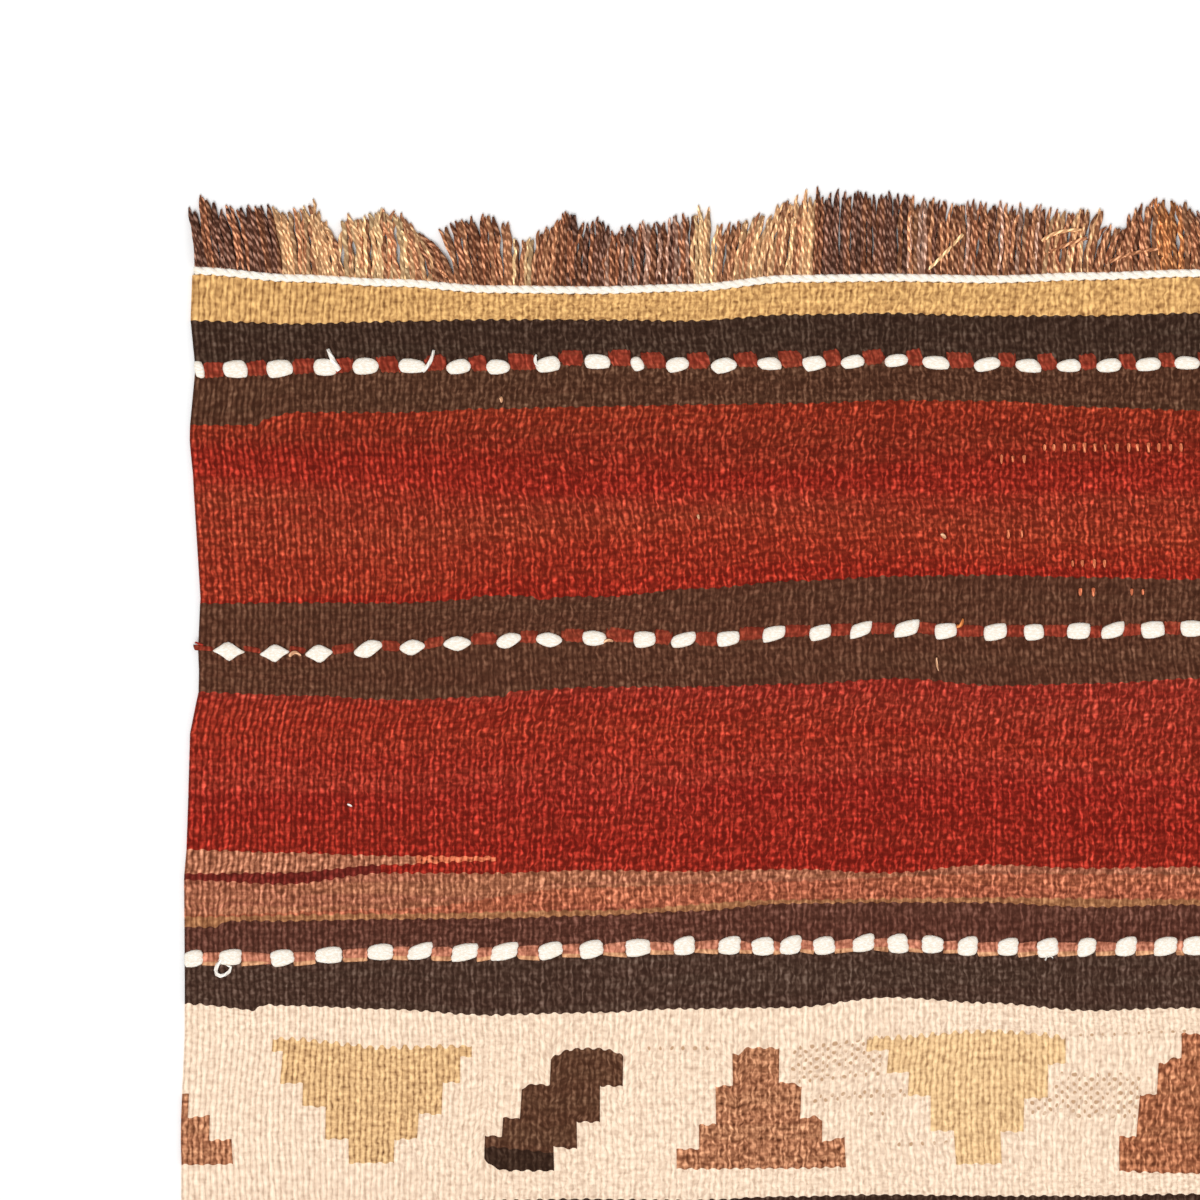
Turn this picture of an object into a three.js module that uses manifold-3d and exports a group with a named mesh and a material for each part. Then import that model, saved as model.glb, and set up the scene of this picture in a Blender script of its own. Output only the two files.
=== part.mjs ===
// A flat-woven kilim rug lying flat: one woven cloth with wrapped rows that stand proud of it,
// a twined cord across each end, and the fringe of cut warp ends beyond each cord.
// Millimetres, +Z up. X runs along the wefts and Y along the warps. The origin is under the middle
// of the rug. The rug is the same when it is turned half round about the origin.
import * as THREE from "three";
import { mergeVertices } from "three/addons/utils/BufferGeometryUtils.js";
import Module from "manifold-3d";

const wasm = await Module();
wasm.setup();

// The weave.
const warpCount = 440;
const warpPitch = 2.275;
const clothWidth = warpCount * warpPitch;
const clothThickness = 3.0;
const rimRounding = 0.7;
const rimSlope = 1.0;

// Bands of the inner group, between the outer and the middle band of motifs.
const motifBand = 77;
const darkBand = 42;
const redBand = 80;
const brickBand = 20;

// A wrapped row: one raised line of two-coloured wefts, in the middle of a dark band.
const rowWidth = 6.0;
const rowLift = 1.0;
const rowSides = 6;
const rowEndInset = 1.5;

// The twined cord across each end. Neighbouring pieces are a small gap apart.
const gap = 0.3;
const cordWidth = 4.0;
const cordHeight = 3.4;
const cordSides = 8;

// The fringe: locks of three warp ends that grow from a narrow strip.
const stripStart = gap + cordWidth + gap;
const stripWidth = 1.8;
const stripHeight = 2.2;
const warpsPerLock = 3;
const lockCount = Math.floor(warpCount / warpsPerLock);
const lockRootInset = 0.5;
const lockWidth = 4.6;
const lockTipWidth = 1.7;
const lockHeight = 2.0;
const lockTipHeight = 0.9;

// Neighbouring locks differ a little in reach, and each curls to one side. A lock bends most near
// its tip.
const lockReachShare = 0.9;
const reachWave = { amount: 0.1, turn: 1.7 };
const reachRipple = { amount: 0.06, turn: 4.3 };
const curlWave = { amount: 0.6, turn: 2.4 };
const bendPower = 1.5;

// The yarns' colours.
const woolRed = 0x8f3222;
const cottonWhite = 0xf4ecda;
const woolBrown = 0x6e4c37;

// The steps in which the solids follow the curves.
const acrossSteps = 25;
const alongSteps = 36;
const lockSteps = 3;

// How the wefts wander: how far each line lies from the +Y end, in columns 80 mm apart that start
// at the left selvedge.
const columnStep = 80;
const weftLines = {
  end: [-3.4, 1.4, 4.4, -0.2, 0.0, -2.4],
  firstRow: [34.0, 32.8, 31.0, 31.3, 32.1, 31.6],
  secondRow: [146.4, 145.5, 141.2, 139.2, 138.8, 137.2],
  thirdRow: [269.2, 266.6, 265.4, 264.2, 264.8, 264.4],
  motifHead: [288.0, 290.2, 291.5, 289.1, 287.8, 289.6],
};

// How far the tips of the fringe lie beyond and to the right of their roots, in the same columns.
const fringeReach = [27, 24, 28, 29, 27, 24];
const fringeLean = [-5, -2, 1, 5, 1, 3];

// How the left selvedge wanders to the right of its straight line, every 40 mm from the +Y end.
const selvedgeStep = 40;
const selvedge = [0.4, 0.8, 0.8, 4.0, 2.6, -1.4, -3.0, -2.4, -2.8, -3.2];

// The places of the inner group's wrapped rows, and the length that they give the cloth.
const innerStart = mean(weftLines.motifHead) + motifBand;
const innerRows = [
  innerStart + darkBand / 2,
  innerStart + darkBand + redBand + darkBand / 2,
  innerStart + 2 * (darkBand + redBand) + brickBand + darkBand / 2,
];
const halfLength = innerRows[2] + darkBand / 2 + motifBand / 2;
const clothLength = 2 * halfLength;

function mean(list) {
  return list.reduce((sum, value) => sum + value, 0) / list.length;
}

// Reads an evenly spaced table smoothly at a distance, to and fro over it where it ends.
function readTable(table, step, distance) {
  const span = (table.length - 1) * step;
  const folded = span - Math.abs(span - (distance % (2 * span)));
  const first = Math.min(Math.floor(folded / step), table.length - 2);
  const share = folded / step - first;
  const smooth = share * share * (3 - 2 * share);
  return table[first] * (1 - smooth) + table[first + 1] * smooth;
}

function readAcross(table, share) {
  return readTable(table, columnStep, share * clothWidth);
}

// The point at a share of the cloth's width, at a distance from the +Y end.
function onCloth(share, fromEnd) {
  const left = -clothWidth / 2 + readTable(selvedge, selvedgeStep, Math.max(fromEnd, 0));
  const fromOtherEnd = Math.max(clothLength - fromEnd, 0);
  const right = clothWidth / 2 - readTable(selvedge, selvedgeStep, fromOtherEnd);
  return [left + (right - left) * share, halfLength - fromEnd];
}

// The point at a share of the width, at a distance beyond the +Y edge of the cloth.
function beyondCloth(share, past) {
  const [x, y] = onCloth(share, readAcross(weftLines.end, share));
  return [x, y + past];
}

// Moves every point of a geometry. The function place gets the point's shares of the geometry's
// size along X, Y and Z, each from 0 to 1, and returns where the point belongs.
function reshape(geometry, place) {
  geometry.computeBoundingBox();
  const { min, max } = geometry.boundingBox;
  const points = geometry.getAttribute("position");
  for (let i = 0; i < points.count; i += 1) {
    const across = (points.getX(i) - min.x) / (max.x - min.x);
    const along = (points.getY(i) - min.y) / (max.y - min.y);
    const up = (points.getZ(i) - min.z) / (max.z - min.z);
    points.setXYZ(i, ...place(across, along, up));
  }
  return geometry;
}

// A closed geometry as a solid that can be joined to others, and back again.
function solidOf(geometry) {
  geometry.deleteAttribute("normal");
  geometry.deleteAttribute("uv");
  const merged = mergeVertices(geometry, 1e-4);
  const vertProperties = merged.getAttribute("position").array;
  const triVerts = new Uint32Array(merged.index.array);
  return new wasm.Manifold(new wasm.Mesh({ numProp: 3, vertProperties, triVerts }));
}

function geometryOf(solid) {
  const { vertProperties, triVerts } = solid.getMesh();
  const geometry = new THREE.BufferGeometry();
  geometry.setAttribute("position", new THREE.BufferAttribute(vertProperties, 3));
  geometry.setIndex(new THREE.BufferAttribute(triVerts, 1));
  return geometry;
}

// Half of the cloth's outline: down the left selvedge from the +Y end, and along the -Y end.
function halfOutline() {
  const corner = readAcross(weftLines.end, 0);
  const otherCorner = clothLength - readAcross(weftLines.end, 1);
  const points = [];
  for (let i = 0; i < alongSteps; i += 1) {
    points.push(onCloth(0, corner + ((otherCorner - corner) * i) / alongSteps));
  }
  for (let i = 0; i < acrossSteps; i += 1) {
    const share = i / acrossSteps;
    points.push(onCloth(share, clothLength - readAcross(weftLines.end, 1 - share)));
  }
  return points;
}

// The woven sheet, flat on both faces and rounded off at its rim.
function sheetGeometry() {
  const half = halfOutline();
  const otherHalf = half.map(([x, y]) => [-x, -y]);
  const outline = new THREE.Shape([...half, ...otherHalf].map(([x, y]) => new THREE.Vector2(x, y)));
  const sheet = new THREE.ExtrudeGeometry(outline, {
    depth: clothThickness - 2 * rimSlope,
    bevelThickness: rimSlope,
    bevelSize: rimRounding,
    bevelOffset: -rimRounding,
    bevelSegments: 1,
  });
  return sheet.translate(0, 0, rimSlope);
}

// A wrapped row, half sunk in the sheet. It lies at a distance from the +Y end.
function rowGeometry(distanceAt) {
  const bar = new THREE.CylinderGeometry(1, 1, 1, rowSides, acrossSteps);
  bar.rotateZ(-Math.PI / 2);
  const insetShare = rowEndInset / clothWidth;
  return reshape(bar, (across, along, up) => {
    const share = insetShare + across * (1 - 2 * insetShare);
    const [x, y] = onCloth(share, distanceAt(share));
    return [x, y + (along - 0.5) * rowWidth, clothThickness + (2 * up - 1) * rowLift];
  });
}

// How far every wrapped row lies from the +Y end. The inner ones wander half as far as the second.
function rowDistances() {
  const { firstRow, secondRow, thirdRow } = weftLines;
  const wander = (share) => (readAcross(secondRow, share) - mean(secondRow)) / 2;
  const half = [
    ...[firstRow, secondRow, thirdRow].map((table) => (share) => readAcross(table, share)),
    ...innerRows.map((place) => (share) => place + wander(share)),
  ];
  const otherHalf = half.map((distanceAt) => (share) => clothLength - distanceAt(1 - share));
  return [...half, ...otherHalf];
}

function clothGeometry() {
  let cloth = solidOf(sheetGeometry());
  for (const distanceAt of rowDistances()) {
    cloth = cloth.add(solidOf(rowGeometry(distanceAt)));
  }
  return geometryOf(cloth);
}

// The twined cord: a rounded bar that lies along the end of the cloth, flat below.
function cordGeometry() {
  const bar = new THREE.CylinderGeometry(1, 1, 1, cordSides, acrossSteps);
  bar.rotateZ(-Math.PI / 2);
  const flatShare = (1 - Math.cos((2 * Math.PI) / cordSides)) / 2;
  return reshape(bar, (across, along, up) => {
    const [x, y] = beyondCloth(across, gap + along * cordWidth);
    const height = Math.max(0, (up - flatShare) / (1 - flatShare));
    return [x, y, height * cordHeight];
  });
}

function stripGeometry() {
  const strip = new THREE.BoxGeometry(1, 1, 1, acrossSteps, 1, 1);
  return reshape(strip, (across, along, up) => {
    const [x, y] = beyondCloth(across, stripStart + along * stripWidth);
    return [x, y, up * stripHeight];
  });
}

function wave({ amount, turn }, index) {
  return amount * Math.sin(index * turn);
}

// One lock: three-sided with one side flat on the floor, bent the way its neighbours bend.
function lockGeometry(index) {
  const share = (index + 0.5) / lockCount;
  const reachShare = lockReachShare + wave(reachWave, index) + wave(reachRipple, index);
  const reach = readAcross(fringeReach, share) * reachShare;
  const lean = readAcross(fringeLean, share);
  const curl = wave(curlWave, index);
  const lock = new THREE.CylinderGeometry(1, 1, 1, 3, lockSteps);
  return reshape(lock, (across, along, up) => {
    const [x, y] = beyondCloth(share, stripStart + lockRootInset + along * reach);
    const bend = lean * along ** bendPower + curl * Math.sin(along * Math.PI);
    const width = lockWidth + (lockTipWidth - lockWidth) * along ** 2;
    const height = lockHeight + (lockTipHeight - lockHeight) * along;
    return [x + bend + (across - 0.5) * width, y, up * height];
  });
}

// The fringe of one end: the locks stand apart, and their roots are joined by the strip.
function fringeGeometry() {
  let fringe = solidOf(stripGeometry());
  for (let index = 0; index < lockCount; index += 1) {
    fringe = fringe.add(solidOf(lockGeometry(index)));
  }
  return geometryOf(fringe);
}

function yarn(color) {
  return new THREE.MeshStandardMaterial({ color, roughness: 0.95, metalness: 0 });
}

function piece(name, geometry, color) {
  const mesh = new THREE.Mesh(geometry, yarn(color));
  mesh.name = name;
  return mesh;
}

// One end of the rug, with its cord and its fringe.
function rugEnd(name, turn) {
  const end = new THREE.Group();
  end.add(piece(`twined_cord_${name}`, cordGeometry(), cottonWhite));
  end.add(piece(`fringe_${name}`, fringeGeometry(), woolBrown));
  end.rotation.z = turn;
  return end;
}

const rug = new THREE.Group();
rug.add(piece("cloth", clothGeometry(), woolRed));
rug.add(rugEnd("far", 0));
rug.add(rugEnd("near", Math.PI));

export default rug;
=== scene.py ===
import bpy
import numpy as np
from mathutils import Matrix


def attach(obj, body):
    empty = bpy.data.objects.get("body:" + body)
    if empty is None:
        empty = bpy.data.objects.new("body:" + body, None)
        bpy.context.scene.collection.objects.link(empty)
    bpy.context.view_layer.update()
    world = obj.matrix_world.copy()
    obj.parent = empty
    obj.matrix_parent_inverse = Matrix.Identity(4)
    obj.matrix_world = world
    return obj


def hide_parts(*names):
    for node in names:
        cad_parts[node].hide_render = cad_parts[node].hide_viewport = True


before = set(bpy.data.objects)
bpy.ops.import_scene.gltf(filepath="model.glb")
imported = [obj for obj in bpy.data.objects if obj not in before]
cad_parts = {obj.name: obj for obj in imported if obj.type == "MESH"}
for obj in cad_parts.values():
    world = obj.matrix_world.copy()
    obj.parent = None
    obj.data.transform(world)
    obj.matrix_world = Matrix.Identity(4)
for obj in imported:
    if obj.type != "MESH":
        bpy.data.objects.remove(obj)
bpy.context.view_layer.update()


# The view and the light
# The camera hangs straight above the far left corner, so far up that the rug shows no
# perspective, and frames 480 mm. The light is a white room and one broad lamp, which leans a
# little from the near side, as over a copy table.
MM = 0.001

view_middle = (-336.5 * MM, 584.2 * MM)
view_width = 480 * MM
view_height = 12.0
view_sensor = 36.0
view_reach = 100.0
camera_data = bpy.data.cameras.new("camera")
camera_data.sensor_width = view_sensor
camera_data.lens = view_sensor * view_height / view_width
camera_data.clip_end = view_reach
camera = bpy.data.objects.new("camera", camera_data)
camera.location = (*view_middle, view_height)
bpy.context.collection.objects.link(camera)
bpy.context.scene.camera = camera
bpy.context.scene.view_settings.view_transform = "Standard"

room_white = (1.0, 1.0, 1.0, 1.0)
room_light = 0.68
room = bpy.data.worlds.new("white_room")
room.use_nodes = True
room_inputs = room.node_tree.nodes["Background"].inputs
room_inputs["Color"].default_value = room_white
room_inputs["Strength"].default_value = room_light
bpy.context.scene.world = room

lamp_light = 1.55
lamp_breadth = 0.5
lamp_lean = (0.42, -0.16, 0.0)
lamp_data = bpy.data.lights.new("broad_lamp", "SUN")
lamp_data.energy = lamp_light
lamp_data.angle = lamp_breadth
lamp = bpy.data.objects.new("broad_lamp", lamp_data)
lamp.rotation_euler = lamp_lean
bpy.context.collection.objects.link(lamp)


# The floor
# A smooth pale floor far larger than the rug, a hair below the wool.
floor_size = 40.0
floor_drop = 0.1 * MM
floor_white = (0.96, 0.96, 0.96, 1.0)


def new_finish(name, **values):
    """A material, its tree and its Principled shader, with plain values on the sockets."""
    finish = bpy.data.materials.new(name)
    finish.use_nodes = True
    shader = finish.node_tree.nodes["Principled BSDF"]
    for socket, value in values.items():
        shader.inputs[socket.replace("_", " ")].default_value = value
    return finish, finish.node_tree, shader


bpy.ops.mesh.primitive_plane_add(size=floor_size, location=(0, 0, -floor_drop))
floor = bpy.context.object
floor.name = "floor"
floor_paint, _, _ = new_finish("floor_paint", Base_Color=floor_white, Roughness=0.9)
floor.data.materials.append(floor_paint)


# The weave's plan
# The wefts wander up and down as they cross the warps, and the selvedges wander in and out. Each
# weft line is given by its distance in millimetres from the far end, at even places over 400 mm
# from the left. The lines within a red or brick band are where a new dye lot begins.
warp_count = 440
warp_pitch = 2.275
cloth_width = warp_count * warp_pitch
line_span = 400.0
weft_lines = {
    "end": [-3.4, -0.4, 1.4, 4.0, 4.4, 3.4, -0.2, -0.6, 0.0, -1.2, -2.4],
    "camel_foot": [14.8, 16.0, 15.1, 14.3, 14.4, 14.8, 12.4, 11.8, 12.9, 12.8, 11.8],
    "first_row": [34.0, 33.4, 32.8, 33.0, 31.0, 32.3, 31.3, 30.6, 32.1, 32.7, 31.6],
    "first_red_head": [51.4, 51.4, 51.6, 50.0, 49.2, 48.4, 47.9, 46.7, 46.9, 49.4, 50.6],
    "first_red_dull": [62.6, 60.0, 61.5, 66.5, 61.0, 58.5],
    "first_red_vivid": [66.0, 68.0, 75.0, 75.6, 72.0, 72.0],
    "first_red_seam": [76.0, 80.0, 83.0, 82.0, 82.0, 81.6],
    "first_red_light": [84.0, 90.0, 90.5, 89.6, 91.0, 87.0],
    "first_red_body": [126.0, 121.0, 100.0, 98.0, 103.0, 104.0],
    "first_red_foot": [126.9, 126.5, 126.7, 124.7, 125.2, 121.9, 118.8, 116.9, 116.5, 117.5, 118.3],
    "second_row": [146.4, 147.5, 145.5, 142.4, 141.2, 142.3, 139.2, 137.7, 138.8, 138.6, 137.2],
    "second_red_head": [
        161.4, 162.7, 164.4, 163.0, 161.3, 161.2, 160.2, 157.9, 160.7, 159.9, 157.9,
    ],
    "second_red_dull": [168.0, 168.5, 170.0, 173.6, 182.0, 193.0],
    "second_red_light": [180.0, 180.0, 180.0, 180.5, 184.5, 194.8],
    "second_red_seam": [201.5, 201.5, 202.0, 197.0, 192.0, 196.8],
    "second_red_body": [205.5, 205.0, 205.0, 199.0, 195.0, 199.0],
    "rose_head": [226.4, 227.6, 228.8, 229.2, 231.6, 232.1, 231.2, 232.6, 229.4, 230.8, 230.3],
    "wedge_head": [236.0, 235.6, 232.4, 230.8, 233.4, 233.9, 233.0, 234.4, 231.2, 232.6, 232.1],
    "brick_head": [238.5, 240.1, 235.7, 235.8, 234.6, 235.1, 234.2, 235.6, 232.4, 233.8, 233.3],
    "brick_red_head": [252.6, 250.4, 241.5, 239.0, 236.0, 236.3],
    "brick_edge_head": [253.2, 252.0, 250.7, 246.4, 245.5, 246.2],
    "brick_foot": [254.7, 254.9, 254.1, 253.9, 252.8, 251.0, 247.9, 247.4, 247.5, 249.3, 248.4],
    "third_row": [269.2, 268.7, 266.6, 266.9, 265.4, 264.2, 264.2, 263.1, 264.8, 264.8, 264.4],
    "cream_head": [285.1, 288.8, 290.1, 292.5, 291.6, 290.0, 289.6, 285.5, 287.7, 290.7, 289.7],
    "motif_head": [300.8, 302.0, 305.4, 304.8, 305.8, 305.6, 305.6, 301.4, 298.8, 301.6, 300.0],
    "motif_brow": [305.4, 307.0, 309.4, 309.2, 309.8, 309.6, 309.4, 306.6, 304.4, 306.0, 304.6],
    "motif_first_step": [
        324.0, 319.8, 319.6, 319.4, 320.8, 321.4, 319.6, 315.6, 313.5, 311.4, 309.4,
    ],
    "motif_second_step": [
        333.6, 328.4, 331.0, 333.4, 335.2, 336.6, 334.6, 324.2, 326.0, 325.4, 323.4,
    ],
    "motif_third_step": [
        342.8, 341.6, 342.4, 340.6, 346.2, 346.0, 345.4, 338.8, 338.8, 340.6, 342.0,
    ],
    "motif_foot_shade": [
        348.0, 347.0, 347.0, 345.2, 348.6, 348.5, 348.0, 344.0, 344.0, 345.0, 347.0,
    ],
    "motif_foot": [352.4, 352.0, 351.6, 354.6, 355.0, 354.0, 353.8, 353.0, 352.0, 354.6, 355.8],
}

# A few lines lie further in at the selvedge and jump back, where the weaver packed a hollow: the
# warp of each jump, its height and its width in warps.
line_jumps = {
    "first_red_head": [(12.5, 2.6, 1.2), (15.5, 2.6, 6.0)],
    "first_red_foot": [(48.2, 1.0, 1.2)],
    "second_red_head": [(54.4, 2.0, 1.2)],
    "brick_foot": [(6.5, 2.6, 3.0)],
    "cream_head": [(12.5, 3.0, 3.0)],
}

# Some corners of the motifs are rounded: the warp of the corner, the warp where the line is
# straight again, and how far the corner is drawn along the warps.
corner_fade = 3.0
line_corners = {
    "first_red_foot": [(60.5, 66, 1.8)],
    "motif_head": [(64, 70.5, 4.8), (77, 70.5, 3.4), (97, 99.5, 3.0)],
    "motif_brow": [(64, 70.5, 2.4), (77, 70.5, 1.0), (97, 99.5, 1.0)],
    "motif_first_step": [(59, 62, 2.4), (171, 173.5, 2.4), (108, 105, 1.8)],
    "motif_second_step": [(112, 109, 3.4)],
    "motif_foot": [(53, 58, -4.8)],
}

# How far the selvedge stands in from its straight line, at even places from the end.
selvedge_span = 360.0
selvedge_wander = [
    1.4, 0.6, 3.2, 0.3, 1.8, 4.4, 5.0, 3.6, 4.2, 0.5,
    -0.1, -0.6, -1.9, -1.7, -1.6, -1.6, -2.6, -3.2, -2.8,
]  # fmt: skip

# The inner bands, between the outer and the middle band of motifs: how far each line lies from
# the one before it.
motif_band = 77.0
inner_steps = {
    "inner_start": 0, "fourth_row": 21, "third_red_head": 21, "third_red_light": 24,
    "third_red_body": 17, "third_red_foot": 39, "fifth_row": 21, "fourth_red_head": 21,
    "fourth_red_light": 17, "fourth_red_body": 35, "inner_brick_head": 28,
    "inner_brick_foot": 20, "sixth_row": 21, "inner_foot": 21,
}  # fmt: skip
inner_places = dict(zip(inner_steps, np.cumsum(list(inner_steps.values())).tolist()))
inner_start = float(np.mean(weft_lines["cream_head"])) + motif_band
half_length = inner_start + inner_places["inner_foot"] + motif_band / 2
cloth_length = 2 * half_length


calm_warps = 8
calm_distance = 30


def smooth(share):
    """A share from 0 to 1 that starts and stops gently."""
    return share * share * (3 - 2 * share)


def read_table(table, span, distance):
    """Reads an evenly spaced table smoothly, and to and fro over its span."""
    table = np.asarray(table, float)
    folded = span - np.abs(span - np.mod(distance, 2 * span))
    place = folded / span * (len(table) - 1)
    first = np.clip(place.astype(int), 0, len(table) - 2)
    share = smooth(place - first)
    return table[first] * (1 - share) + table[first + 1] * share


def weft_line(name, warps):
    """How far a weft line of the far half lies from the far end, at places counted in warps."""
    warps = np.asarray(warps, float)
    if name not in weft_lines:
        second = weft_lines["second_row"]
        wander = read_table(second, line_span, warps * warp_pitch) - np.mean(second)
        return inner_start + inner_places[name] + wander / 2
    line = read_table(weft_lines[name], line_span, warps * warp_pitch)
    for jump_at, height, width in line_jumps.get(name, []):
        line = line + height * (1 - smooth(np.clip((warps - jump_at) / width + 0.5, 0, 1)))
    for corner, straight, depth in line_corners.get(name, []):
        share = np.clip((warps - straight) / (corner - straight), 0, 1)
        beyond = smooth(np.clip(np.abs(warps - corner) / corner_fade, 0, 1))
        fade = np.where(share < 1, 1, 1 - beyond)
        line = line + depth * share**3 * fade
    return line


def in_far_half(warps, distance):
    """Which places lie in the near half, and where each would lie in the far half: the near half
    is the far half turned half round."""
    warps, distance = np.broadcast_arrays(warps, distance)
    near = distance > half_length
    warps = np.where(near, warp_count - warps, warps)
    return near, warps, np.where(near, cloth_length - distance, distance)


def rib_drift(warps, distance):
    """How far the ribs drift to the side in two slow waves, which die out at the selvedges and at
    the middle of the rug."""
    calm = np.clip(np.minimum(warps, warp_count - warps) / calm_warps, 0, 1)
    calm = calm * np.clip((half_length - distance) / calm_distance, 0, 1)
    slow = 0.5 * np.sin(0.11 * warps + 0.045 * distance + 1.9 * np.sin(0.021 * distance))
    slower = 0.35 * np.sin(0.043 * warps - 0.083 * distance + 1.3)
    return calm * (slow + slower)


def on_cloth(warps, distance):
    """The place in millimetres at a count of warps from the left and a distance from the far
    end."""
    near, warps, distance = in_far_half(warps, distance)
    left_in, right_in = (
        read_table(selvedge_wander, selvedge_span, np.maximum(from_end, 0))
        for from_end in (distance, cloth_length - distance)
    )
    left, right = -cloth_width / 2 + left_in, cloth_width / 2 - right_in
    x = left + (right - left) * warps / warp_count + rib_drift(warps, distance)
    y = half_length - distance
    return np.where(near, -x, x), np.where(near, -y, y)


# Where a band grows thicker it holds more wefts, and none is stretched. The weave's pattern counts
# the wefts between these lines.
even_lines = [
    "end", "camel_foot", "first_row", "first_red_head", "first_red_foot", "second_row",
    "second_red_head", "brick_foot", "third_row", "cream_head", "motif_head", "motif_foot",
    "inner_start", "inner_foot",
]  # fmt: skip
even_span = np.linspace(0, warp_count, 200)
even_places = [float(weft_line(name, even_span).mean()) for name in even_lines] + [half_length]


def even_distance(warps, distance):
    """How far from the far end a place would lie if all the wefts ran straight."""
    near, warps, distance = in_far_half(warps, distance)
    start = weft_line(even_lines[0], warps)
    place = even_places[0] + np.minimum(distance - start, 0)
    for name, step in zip([*even_lines[1:], None], np.diff(even_places)):
        stop = weft_line(name, warps) if name else half_length
        place = place + step * np.clip((distance - start) / (stop - start), 0, 1)
        start = stop
    return np.where(near, cloth_length - place, place)


# The stepped motifs
# A slit is never woven here: each motif's sides step outwards or inwards by whole warps. Light
# motifs hang point down from a wide brow, brown ones stand on their base, and a dark one leans.
# Each chart gives a motif's left and right side in warps from its middle, strip by strip.
motif_strip_count = 6
motif_charts = {
    "hanging": [(-18, 17), (-16, 15), (-12, 12), (-8, 8), (-4, 4)],
    "shifted": [(-20, 15), (-16, 15), (-12, 12), (-8, 8), (-4, 4)],
    "standing": [(-5, 3), (-5, 3), (-8, 7), (-11, 11), (-15, 15)],
    "broad": [(-5, 4), (-5, 4), (-9, 7), (-12, 11), (-15, 15)],
    "leaning": [(-1, 12), (-1, 12), (-6, 8), (-9, 4), (-12, 0)],
}
far_motifs = [
    (-6, "standing", "clay"), (33, "hanging", "tan"), (65, "leaning", "umber"),
    (101, "standing", "clay"), (139, "shifted", "straw"), (179, "broad", "rust"),
    (215, "hanging", "tan"), (252, "standing", "clay"), (288, "shifted", "straw"),
    (320, "leaning", "umber"), (356, "broad", "rust"), (392, "hanging", "tan"),
    (429, "standing", "clay"),
]  # fmt: skip
middle_motifs = [
    (round(warp_count * (index + 0.5) / 12), *(("standing", "clay"), ("hanging", "tan"))[index % 2])
    for index in range(12)
]

def motif_strips(motifs):
    """The dyes of one band of motifs, warp by warp, for its strips. The chart's last row takes
    two strips, and the lower one is darker in a leaning motif."""
    strips = [np.full(warp_count, "cream", dtype="<U16") for _ in range(motif_strip_count)]
    for middle, kind, dye in motifs:
        chart = motif_charts[kind]
        for strip, (left, right) in zip(strips, [*chart, chart[-1]]):
            strip[max(middle + left, 0) : max(middle + right, 0)] = dye
    strips[-1][strips[-1] == "umber"] = "umber_foot"
    return strips


# The woven cloth
# One weft-faced plain weave: the warps lie hidden under the ribs, and the wool wefts are beaten
# down until only they show. It is one cloth, made here in seven lengths that meet edge to edge.
pick = 0.92
row_step = 13.0
cloth_rise = {"valley": 2.45, "rib": 3.0, "rim": 1.3}
rim_bulge = 0.5
rim_warps = 0.3
faint_share = 1e-6
map_margin = 0.005


def new_piece(name, points, corners, sizes, flat=None):
    """A smooth mesh object from points in millimetres, and its faces' corners in one list. The
    faces that are marked as flat are shaded flat."""
    mesh = bpy.data.meshes.new(name)
    mesh.vertices.add(len(points))
    mesh.vertices.foreach_set("co", (np.asarray(points) * MM).ravel())
    mesh.loops.add(len(corners))
    mesh.loops.foreach_set("vertex_index", corners)
    mesh.polygons.add(len(sizes))
    mesh.polygons.foreach_set("loop_start", np.cumsum(sizes) - sizes)
    rounded = np.ones(len(sizes), bool) if flat is None else ~flat
    mesh.polygons.foreach_set("use_smooth", rounded)
    mesh.update(calc_edges=True)
    piece = bpy.data.objects.new(name, mesh)
    bpy.context.collection.objects.link(piece)
    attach(piece, "root")
    return piece


def add_map(piece, name, places):
    """A UV map from one place for each point of the mesh."""
    mesh = piece.data
    corners = np.empty(len(mesh.loops), dtype=np.int32)
    mesh.loops.foreach_get("vertex_index", corners)
    uv_map = mesh.uv_layers.new(name=name)
    uv_map.uv.foreach_set("vector", np.asarray(places, float)[corners].ravel())


def add_colours(piece, name, colours):
    """A colour for each point of the mesh, which its finish reads by name."""
    given = piece.data.attributes.new(name, "FLOAT_COLOR", "POINT")
    given.data.foreach_set("color", colours.ravel())


def add_finishes(piece, finishes, numbers):
    """Several finishes on one piece, and the number of the finish of each face."""
    for finish in finishes:
        piece.data.materials.append(finish)
    piece.data.polygons.foreach_set("material_index", numbers.astype(np.int32))


def joined(face_sets):
    """Arrays of faces, each with its own number of corners, as one list of corners and of sizes."""
    corners = np.concatenate([faces.ravel() for faces in face_sets])
    sizes = np.concatenate([np.full(len(faces), faces.shape[1]) for faces in face_sets])
    return corners, sizes


def grid_faces(numbers):
    """The four-cornered faces between the points of a grid, facing up where it runs down."""
    corners = (numbers[1:, :-1], numbers[1:, 1:], numbers[:-1, 1:], numbers[:-1, :-1])
    return np.stack(corners, axis=-1).reshape(-1, 4)


# Three points to a rib: its valley and its two shoulders.
shoulders = np.array([0.0, 0.3, 0.7])
warp_places = np.append((np.arange(warp_count)[:, None] + shoulders).ravel(), warp_count)
rib_numbers = np.minimum(warp_places.astype(int), warp_count - 1)
at_shoulder = np.append(np.tile([0.0, 1.0, 1.0], warp_count), 0.0)
rib_rises = (0.8, 1.1)
rib_rise = np.random.default_rng(3).uniform(*rib_rises, warp_count)

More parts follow.
